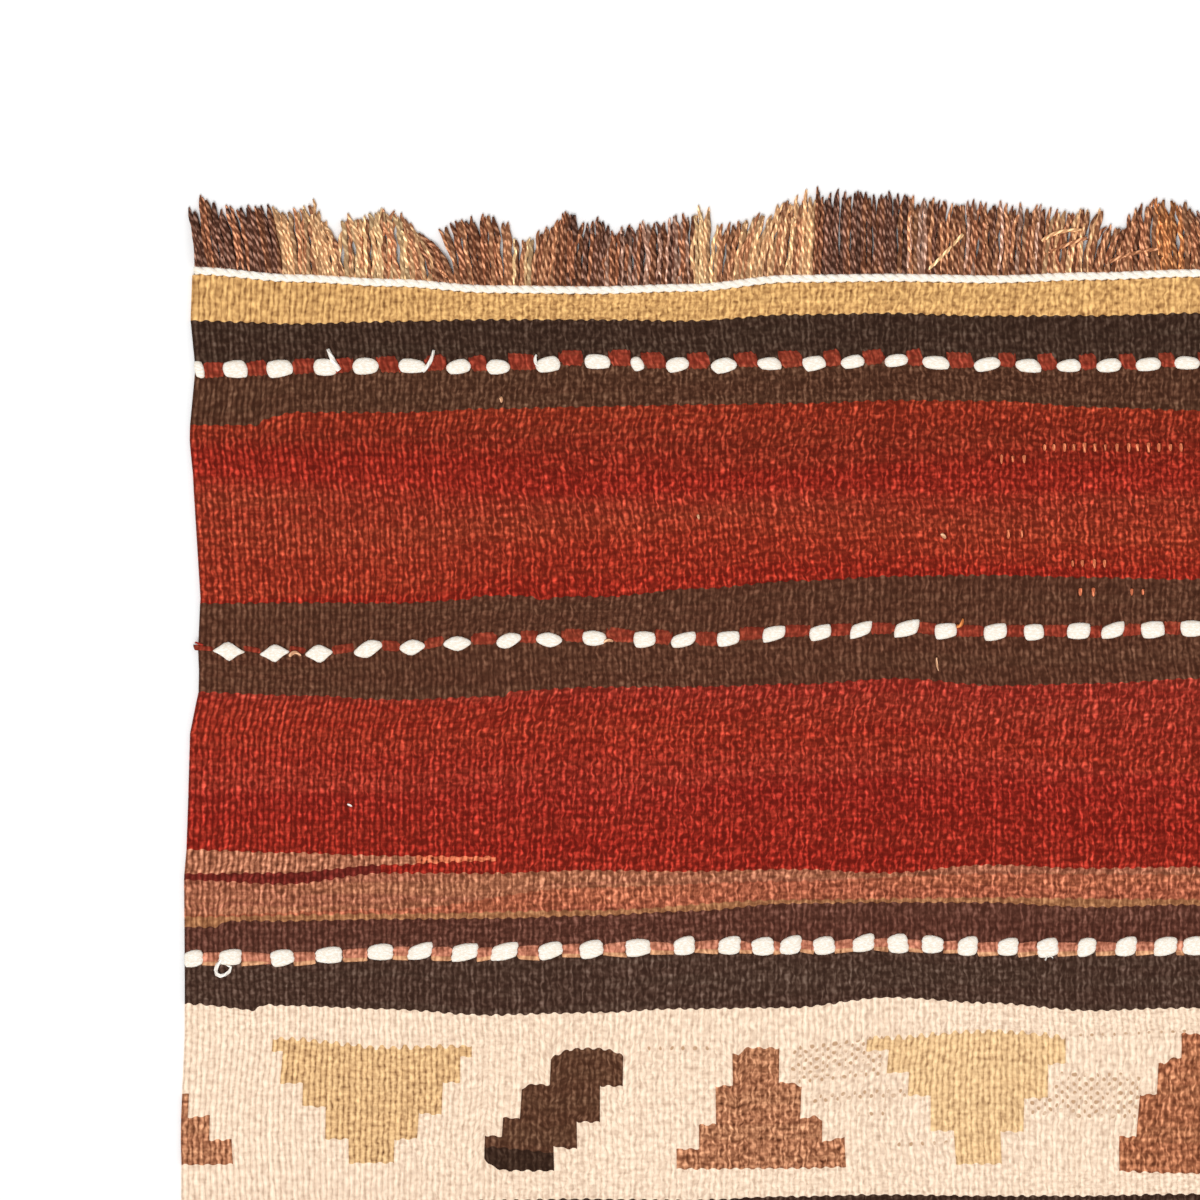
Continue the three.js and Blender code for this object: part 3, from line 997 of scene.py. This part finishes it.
def wrap_row(row, half, seed):
    """One wrapped row, with its white wraps and the wool between them."""
    chance = np.random.default_rng(seed)
    like = same_rows.get(row, row)
    white = dict(white_looks[like])
    whites, links = white_and_links(like, white, chance)
    layers = [(white_wrap, wrap_layer(*whites, white, white_grid, row, chance))]
    for dye, looks in link_looks[like]:
        layers.append((dyed_wool[dye], wrap_layer(*links, looks, link_grid, row, chance)))
    points, places, cells, numbers, faces, materials = [], [], [], [], [], []
    start = 0
    for material, (_, (wraps, upper, below, in_cell)) in enumerate(layers):
        for wrap_points, wrap_places in wraps:
            numbers.append(np.full(len(wrap_points), len(points)))
            points.append(wrap_points)
            places.append(wrap_places)
            cells.append(in_cell)
            faces += [upper + start, below + start]
            materials.append(np.full(len(upper) + 1, material))
            start += len(wrap_points)
    piece = half_piece(f"wrapped_{row}", half, np.concatenate(points), faces)
    add_map(piece, "weave", np.concatenate(places))
    add_map(piece, "OFBake", in_cells(np.concatenate(numbers), np.concatenate(cells)))
    add_finishes(piece, [finish for finish, _ in layers], np.concatenate(materials))
    return piece


# Soft white cotton, whose fine hairs and wider lumps run across the warps.
lump_size, hair_size = (0.7, 0.76, 2.0), (0.4, 0.24, 2.0)
cotton_takes = {"Light": "Color", "Dark": "Color", "Darkest": "Float"}
fibres, taken, fibres_last = new_group("cotton_fibres", cotton_takes, colour_and_height)
warps, wefts = map_counts(fibres, "weave")
puffs_and_hairs = lumps(warps, wefts, *lump_size) * 0.6 + lumps(warps, wefts, *hair_size) * 0.4
dark_share = ramp(puffs_and_hairs, taken["Darkest"], 0.62, 1.0, 0.0)
cotton_shade = blend(dark_share, taken["Light"], taken["Dark"])
set_inputs(fibres, fibres_last, {"Color": cotton_shade, "Height": puffs_and_hairs})


def soft_cotton(name, light, dark, darkest, relief):
    """The finish of soft white yarn."""
    finish, tree, shader = new_finish(name, **dull)
    look = {"Light": colour(*light), "Dark": colour(*dark), "Darkest": darkest}
    cotton = add_node(tree, "ShaderNodeGroup", look, node_tree=fibres).outputs
    cover(tree, shader, cotton["Color"], cotton["Height"], relief)
    return finish


white_wrap = soft_cotton("white_cotton_wrap", (255, 252, 244), (243, 230, 212), 0.425, 0.25)
wrapped_rows = {"far": [], "near": []}
for number, row in enumerate([*row_charts, *same_rows]):
    wrapped_rows["far"].append(wrap_row(row, "far", 40 + 10 * number))
    wrapped_rows["near"].append(wrap_row(row, "near", 41 + 10 * number))


# The loose yarn ends
# Where a yarn begins or runs out, its end sticks out of the face or lies in a small loop. Each
# is given by its colour, its radius and its places in warps and in millimetres from the far end.
# A colour's fourth value is the contrast of the painted highlight and shade on the yarn's plies.
cotton, peach = (255, 248, 238, 0.2), (226, 170, 130, 0.4)
amber, madder = (220, 130, 70, 0.4), (170, 52, 38, 0.4)
loose_ends = [
    (cotton, 1.15, [(25.3, 34.6), (24.6, 31.0), (24.0, 26.2)]),
    (cotton, 0.9, [(39.6, 35.0), (41.2, 31.2), (42.2, 26.6)]),
    (cotton, 0.8, [(60.4, 33.4), (59.8, 31.0), (60.2, 28.4)]),
    (cotton, 0.9, [(7.4, 271.0), (5.6, 273.0), (5.8, 276.6), (7.6, 275.4), (7.4, 272.4)]),
    (cotton, 0.35, [(150.6, 270.6), (151.2, 268.6), (152.0, 269.8)]),
    (cotton, 0.45, [(28.2, 208.2), (28.6, 208.6), (28.9, 209.0)]),
    (peach, 0.8, [(15.6, 149.0), (16.6, 147.4), (17.6, 148.8)]),
    (peach, 0.7, [(71.6, 143.2), (72.5, 142.6), (73.3, 143.0)]),
    (amber, 0.8, [(134.0, 137.0), (134.7, 136.4), (135.0, 134.0)]),
    (peach, 0.45, [(130.2, 149.6), (130.1, 152.0), (130.3, 154.8)]),
    (peach, 0.75, [(53.7, 45.6), (53.9, 46.4), (54.0, 47.4)]),
    (peach, 0.5, [(88.5, 92.6), (88.6, 93.4), (88.6, 94.2)]),
    (peach, 0.85, [(131.4, 100.2), (131.8, 101.0), (132.0, 101.8)]),
    (madder, 0.55, [(0.6, 144.6), (0.0, 144.0), (-0.7, 143.4)]),
]
loose_steps = 10
yarn_sides = 5
loose_height = 3.3
loose_thinning = 0.45
path_arch = 0.5

# A lighter weft shows as a row of ticks: its first and last warp, the step from tick to tick and
# its distance from the far end.
tick_rows = [
    (150.0, 176.5, 1.9, 65.6), (142.6, 146.6, 1.9, 70.2), (143.4, 146.2, 2.4, 100.2),
    (155.0, 160.8, 1.8, 112.0), (156.2, 158.6, 2.1, 123.4), (165.0, 168.0, 2.0, 123.4),
]  # fmt: skip
tick_shade = (228, 128, 88, 0.4)
tick_jitter, tick_reaches, tick_radii = (-0.25, 0.25), (0.9, 1.8), (0.55, 0.85)
tick_chance = np.random.default_rng(17)
for first, last, step, distance in tick_rows:
    for warp in np.arange(first, last, step):
        jitter, reach, radius = (
            tick_chance.uniform(*span) for span in (tick_jitter, tick_reaches, tick_radii)
        )
        places = [(warp + jitter, distance + share * reach) for share in (-1, 0, 1)]
        loose_ends.append((tick_shade, radius, places))


def tubes(paths, radii, sides):
    """Round yarns along paths, as points and faces."""
    count, steps, _ = paths.shape
    ahead = np.gradient(paths, axis=1)
    ahead /= np.linalg.norm(ahead, axis=2, keepdims=True)
    side = np.cross(ahead, [0.0, 0.0, 1.0])
    side /= np.maximum(np.linalg.norm(side, axis=2, keepdims=True), 1e-6)
    up = np.cross(side, ahead)
    angles = np.linspace(0, 2 * np.pi, sides, endpoint=False)
    ring = side[:, :, None] * np.cos(angles)[:, None] + up[:, :, None] * np.sin(angles)[:, None]
    points = paths[:, :, None] + ring * radii[:, :, None, None]
    numbers = np.arange(count * steps * sides).reshape(count, steps, sides)
    after = np.roll(numbers, -1, axis=2)
    quads = np.stack([numbers[:, :-1], numbers[:, 1:], after[:, 1:], after[:, :-1]], axis=-1)
    caps = np.concatenate([numbers[:, 0], numbers[:, -1, ::-1]])
    return points.reshape(-1, 3), [quads.reshape(-1, 4), caps]


def yarn_piece(name, paths, radii, shades, half):
    """Two-ply yarns of one piece. Each has its own colour of wool, and the contrast of the painted
    highlight and shade on its plies as the fourth value. No two begin at the same turn of the
    plies."""
    count, steps, _ = paths.shape
    points, faces = tubes(paths, radii, yarn_sides)
    piece = half_piece(name, half, points, faces)
    stretch = np.linalg.norm(np.diff(paths, axis=1), axis=2)
    length = np.concatenate([np.zeros((count, 1)), np.cumsum(stretch, axis=1)], axis=1)
    length = np.repeat(length.ravel(), yarn_sides)
    around = np.tile(np.arange(yarn_sides) / yarn_sides, count * steps)
    number = np.repeat(np.arange(count), steps * yarn_sides)
    first_turn = np.arange(count) * 3 + np.random.default_rng(5).uniform(size=count)
    add_map(piece, "yarn", np.stack([around + first_turn[number], length], axis=-1))
    in_cell = np.stack([0.1 + 0.8 * around, 0.05 + 0.9 * length / length.max()], axis=-1)
    add_map(piece, "OFBake", in_cells(number, in_cell))
    linear = np.array([colour(*np.clip(shade[:3], 0, 255)) for shade in shades])
    linear[:, 3] = [shade[3] for shade in shades]
    add_colours(piece, "wool", linear[number])
    piece.data.materials.append(two_ply_yarn)
    return piece


# The two plies wind round each other. Each ply's crown gets a painted highlight, and the line
# between the plies painted shade. The map "yarn" counts turns around and millimetres along, and
# the attribute "wool" is each yarn's colour.
ply_pitch = -0.12
ply_lumps = (0.6, 3.0, 2.0)
ply_relief = 0.3
ply_painted_highlight, ply_painted_shade = 2.0, 0.46
two_ply_yarn, yarn_tree, yarn_shader = new_finish("two_ply_yarn", **dull)
around, length = map_counts(yarn_tree, "yarn")
ply_turn = (length * ply_pitch + around) * (4 * np.pi)
ply_share = ramp(ply_turn.worked("SINE"), -0.9, 0.9)
ply_painted_light = ply_share * ramp(lumps(around, length, *ply_lumps), 0.32, 0.68, 0.1, 1.0)
wool = add_node(yarn_tree, "ShaderNodeAttribute", attribute_name="wool").outputs
ply_gain = (ply_painted_light * ply_painted_highlight - ply_painted_shade) * wool["Alpha"] + 1.0
cover(yarn_tree, yarn_shader, gained(wool["Color"], ply_gain), ply_share, ply_relief)


def bent_path(places, height, steps):
    """A smooth path over the cloth through places in warps and distances."""
    share = np.linspace(0, 1, len(places))
    through = np.linspace(0, 1, steps)
    warps_at, distance = (
        np.polyval(np.polyfit(share, values, len(places) - 1), through) for values in zip(*places)
    )
    x, y = on_cloth(warps_at, distance)
    return np.stack([x, y, height + path_arch * np.sin(np.pi * through)], axis=-1)


def loose_yarn(half):
    """The loose yarn ends of one half, which grow thin towards their tips."""
    paths = np.array([bent_path(places, loose_height, loose_steps) for _, _, places in loose_ends])
    thinning = 1 - loose_thinning * np.linspace(0, 1, loose_steps) ** 3
    radii = np.array([radius * thinning for _, radius, _ in loose_ends])
    shades = [shade for shade, _, _ in loose_ends]
    piece = yarn_piece("loose_yarn_ends", paths, radii, shades, half)
    return piece


loose_yarns = {half: loose_yarn(half) for half in ("far", "near")}


# The twined cords
# Across each end, two white cotton yarns are twined round the warps in pairs and lock the last
# wefts. Their turns lie tight against each other, and show as a scalloped white band.
cord_gap = 2.05
cord_turn = 9.1
cord_steps = 8
cord_sides = 8
cord_yarn = 1.42
cord_sway = {"y": 0.82, "z": 0.4}
cord_middle = 1.95
cord_inset = 0.2
cord_uneven = 0.06
cord_picks = 9
cord_map_lines = 40


def end_line(warps_at):
    """The place of the cloth's far end in millimetres."""
    return on_cloth(warps_at, weft_line("end", warps_at))


def twine(half):
    """Two yarns twined round each other along one end of the cloth."""
    turns = round(cloth_width / cord_turn)
    steps = turns * cord_steps
    warps_at = np.linspace(cord_inset, warp_count - cord_inset, steps + 1)
    angle = np.linspace(0, 2 * np.pi * turns, steps + 1)
    x, y = end_line(warps_at)
    paths = []
    for start in (0, np.pi):
        sway_y = y + cord_gap + cord_sway["y"] * np.cos(angle + start)
        sway_z = cord_middle + cord_sway["z"] * np.sin(angle + start)
        paths.append(np.stack([x, sway_y, sway_z], axis=-1))
    paths = np.array(paths)
    radii = cord_yarn * (1 + cord_uneven * np.sin(warps_at * 2.7 + 1.0) * np.sin(warps_at * 0.61))
    points, faces = tubes(paths, np.broadcast_to(radii, paths.shape[:2]), cord_sides)
    piece = half_piece("twined_cotton", half, points, faces)
    strand_warps = np.repeat(np.tile(warps_at, 2), cord_sides)
    round_share = np.tile(np.arange(cord_sides) / cord_sides, 2 * (steps + 1))
    add_map(piece, "weave", np.stack([strand_warps, round_share * cord_picks], axis=-1))
    length_share = np.repeat(np.tile(np.linspace(0, 1, steps + 1), 2), cord_sides)
    length_share = length_share * cord_map_lines
    line = np.minimum(length_share.astype(int), cord_map_lines - 1)
    strand = np.repeat([0, 1], (steps + 1) * cord_sides)
    along_map = (line * 2 + strand + 0.1 + 0.8 * round_share) / (2 * cord_map_lines)
    add_map(piece, "OFBake", np.stack([length_share - line, along_map], axis=-1))
    piece.data.materials.append(white_twine)
    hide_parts(f"twined_cord_{half}")
    return piece


white_twine = soft_cotton("white_cotton_twine", (255, 253, 247), (246, 236, 220), 0.45, 0.2)
cords = {half: twine(half) for half in ("far", "near")}


# The fringe
# The warps are two-ply yarns in undyed dark, mid and light wool. Beyond the cord they are cut off
# by hand, and they lean, curl and cling together in tufts.
# A wool's fourth value is the contrast of the painted highlight and shade on its plies.
wools = {
    "dark": (131, 87, 69, 1.22),
    "brown": (162, 103, 73, 1.1),
    "mid": (200, 136, 97, 0.82),
    "tan": (247, 190, 138, 0.62),
    "pale": (252, 206, 152, 0.56),
    "pink": (198, 150, 126, 0.8),
    "orange": (204, 130, 80, 0.9),
}
# Each tuft is a run of warps: its first and last warp, how far the tips lean to the right and how
# far they reach at its two sides, how much they gather to points, how much they curl, and its
# wools.
tufts = [
    (0, 2, -4.0, -4.5, 27.0, 26.0, 0.2, 0.3, ["dark"]),
    (2, 4, -4.0, -4.5, 30.5, 30.0, 0.3, 0.4, ["dark", "brown"]),
    (4, 6, -4.5, -5.5, 31.0, 26.0, 0.2, 0.4, ["dark"]),
    (6, 15, -5.0, -4.5, 27.5, 30.0, 0.1, 0.5, ["dark", "dark", "dark", "brown"]),
    (15, 18, -4.0, -3.5, 29.5, 28.0, 0.1, 0.6, ["tan"]),
    (18, 21, -2.5, -1.5, 27.0, 31.0, 0.1, 1.3, ["tan", "mid"]),
    (21, 26, -2.5, -4.5, 31.0, 22.0, 0.1, 1.2, ["tan", "tan", "mid"]),
    (26, 34, -1.5, -2.0, 24.0, 30.0, 0.1, 1.4, ["tan", "tan", "pale", "mid"]),
    (34, 39, -2.5, -4.5, 29.5, 28.5, 0.1, 1.6, ["tan", "pale", "mid"]),
    (39, 46, -5.5, -7.5, 28.0, 17.0, 0.0, 1.2, ["tan", "mid", "brown"]),
    (46, 50, -6.0, -4.5, 27.0, 30.0, 0.1, 0.6, ["mid", "brown"]),
    (50, 56, -3.0, -1.0, 31.0, 28.0, 0.2, 0.6, ["mid", "brown"]),
    (56, 59, 0.0, 2.0, 19.0, 19.0, 0.1, 0.8, ["pale", "mid"]),
    (59, 64, 3.5, 3.0, 24.0, 29.0, 0.1, 0.6, ["mid", "brown"]),
    (64, 67, 1.5, 0.0, 32.0, 31.0, 0.2, 0.6, ["dark", "brown"]),
    (67, 72, 1.0, 1.5, 27.0, 28.0, 0.15, 0.8, ["dark", "brown"]),
    (72, 88, 1.0, 0.5, 23.0, 29.0, 0.12, 0.9, ["dark", "brown", "pink"]),
    (88, 91, -0.5, 0.5, 31.0, 31.0, 0.2, 0.6, ["tan", "pale"]),
    (91, 100, 2.5, 7.0, 24.0, 30.0, 0.1, 0.8, ["tan", "mid", "tan", "pink"]),
    (100, 107, 6.5, 2.5, 33.0, 33.0, 0.12, 0.8, ["tan", "mid", "tan"]),
    (107, 109, 2.0, 1.5, 39.0, 36.0, 0.3, 0.4, ["tan"]),
    (109, 123, 1.0, 0.5, 35.0, 33.0, 0.12, 0.6, ["dark", "dark", "brown"]),
    (123, 149, 0.5, 2.0, 32.0, 29.0, 0.12, 0.8, ["brown", "dark", "pink", "mid"]),
    (149, 158, 3.5, 4.5, 28.0, 28.0, 0.12, 0.8, ["mid", "tan", "brown"]),
    (158, 163, 5.0, 4.5, 21.0, 19.0, 0.1, 1.0, ["brown", "mid"]),
    (163, 168, 3.5, 1.5, 25.0, 29.0, 0.12, 0.8, ["mid", "brown"]),
    (168, 175, 0.5, -1.0, 29.0, 28.0, 0.15, 1.4, ["orange", "mid", "orange"]),
    (175, 178, -1.5, -3.0, 25.0, 26.0, 0.1, 0.8, ["brown", "mid"]),
]
end_steps = 13
end_radius = 0.86
root_start = 3.4
root_height = 1.7
floor_gap = 1.06
tip_start, tip_thinning = 0.85, 0.55
gathered_reach = 0.25

# By chance the single ends begin, lean, bend, wave, bow and lie otherwise, each by so much.
root_chance, lean_chance = 0.12, 0.4
bends, wave_turns, waves, bows = (1.1, 1.7), (1.6, 3.0), (0.15, 0.5), (0.9, 1.4)
thicknesses, tones = (0.9, 1.1), (0.88, 1.1)

# The two layers: how far to the right of its warp an end begins, in warps, how thick and how light
# it is, where the lower layer is darkened as painted shade beneath the upper one, how much it
# curls and gathers, and by chance how far it reaches and how high it lies.
fringe_layers = {
    "upper": {"root": 0.5, "thick": 1.0, "light": 1.0, "curl": 1.0, "gather": 1.0,
              "reach": (0.93, 1.04), "level": (1.5, 2.4)},
    "lower": {"root": 0.98, "thick": 1.36, "light": 0.76, "curl": 0.3, "gather": 0.0,
              "reach": (0.88, 1.0), "level": (0.7, 1.1)},
}  # fmt: skip

# Single ends that lie across the others, as loose yarn ends are given.
stray_ends = [
    (wools["tan"], 0.8, [(149.4, -17.0), (152.4, -20.6), (156.6, -21.4)]),
    (wools["mid"], 0.85, [(149.8, -11.6), (153.4, -15.2), (157.6, -18.4)]),
    (wools["mid"], 0.85, [(161.6, -8.8), (166.0, -12.2), (170.6, -14.0)]),
    (wools["pale"], 0.8, [(129.0, -5.4), (131.8, -11.4), (135.4, -19.8)]),
]
stray_height = 3.2


def tuft_of(warp):
    """One warp's values from the table; the run of tufts comes again and again."""
    folded = warp % tufts[-1][1]
    first, last, *values, gather, curl, kinds = next(tuft for tuft in tufts if folded < tuft[1])
    share = (folded - first) / max(last - first - 1, 1)
    lean, last_lean, reach, last_reach = values
    lean = lean + (last_lean - lean) * share
    return lean, reach + (last_reach - reach) * share, gather, curl, kinds


def clump_places(chance):
    """Each warp's place in its clump of three to six, from -1 to 1, and the clump's half size."""
    sizes = chance.integers(3, 7, warp_count)
    ends = np.cumsum(sizes)
    index = np.searchsorted(ends, np.arange(warp_count), side="right")
    half = (sizes[index] - 1) / 2
    return (np.arange(warp_count) - (ends[index] - 1 - half)) / half, half


def warp_ends(seed, layer, clumps):
    """The paths, radii and colours of the warp ends of one layer."""
    chance = np.random.default_rng(seed)
    t = np.linspace(0, 1, end_steps)
    taper = 1 - tip_thinning * np.clip((t - tip_start) / (1 - tip_start), 0, 1) ** 1.5
    thick = end_radius * layer["thick"]
    paths, radii, shades = [], [], []
    for warp, place, half_size in zip(range(warp_count), *clumps):
        lean, reach, gather, curl, kinds = tuft_of(warp)
        lean += chance.normal(0, lean_chance)
        pull = -place * half_size * warp_pitch * gather * layer["gather"]
        reach *= 1 - gathered_reach * gather * place * place
        reach *= chance.uniform(*layer["reach"])
        root = warp + layer["root"] + chance.uniform(-root_chance, root_chance)
        x, y = end_line(np.array(min(root, warp_count - cord_inset)))
        bend = chance.uniform(*bends)
        wave = np.sin(2 * np.pi * (t * chance.uniform(*wave_turns) + chance.uniform()))
        bow = np.sin(np.pi * t * chance.uniform(*bows))
        wave = wave * np.sqrt(t) * chance.uniform(*waves) * (0.5 + curl)
        bow = bow * chance.normal(0, curl) * layer["curl"]
        path_x = x + lean * t**bend + pull * t**3 + wave + bow
        path_y = y + root_start + reach * t * (1 - 0.12 * t * min(abs(lean) / 6, 1))
        level = chance.uniform(*layer["level"]) * np.sin(np.pi * np.clip(t * 1.15, 0, 1))
        path_z = root_height * (1 - t) ** 2 + level + floor_gap * thick
        paths.append(np.stack([path_x, path_y, path_z], axis=-1))
        radii.append(thick * chance.uniform(*thicknesses) * taper)
        shade = np.array(wools[kinds[chance.integers(len(kinds))]], float)
        # The lower layer's colour is darkened as painted shade.
        shade[:3] *= chance.uniform(*tones) * layer["light"]
        shades.append(shade)
    return np.array(paths), np.array(radii), np.array(shades)


def fringe(half, seed):
    """The warp ends beyond one cord: both layers and the single ends across them."""
    clumps = clump_places(np.random.default_rng(seed + 2))
    upper = warp_ends(seed, fringe_layers["upper"], clumps)
    lower = warp_ends(seed + 1, fringe_layers["lower"], clumps)
    strays = np.array([bent_path(places, stray_height, end_steps) for _, _, places in stray_ends])
    stray_radii = np.array([np.full(end_steps, radius) for _, radius, _ in stray_ends])
    stray_shades = np.array([shade for shade, _, _ in stray_ends], float)
    layers = zip(upper, lower, (strays, stray_radii, stray_shades))
    paths, radii, shades = (np.concatenate(parts) for parts in layers)
    piece = yarn_piece("warp_ends", paths, radii, shades, half)
    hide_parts(f"fringe_{half}")
    return piece


fringes = {half: fringe(half, 70) for half in ("far", "near")}
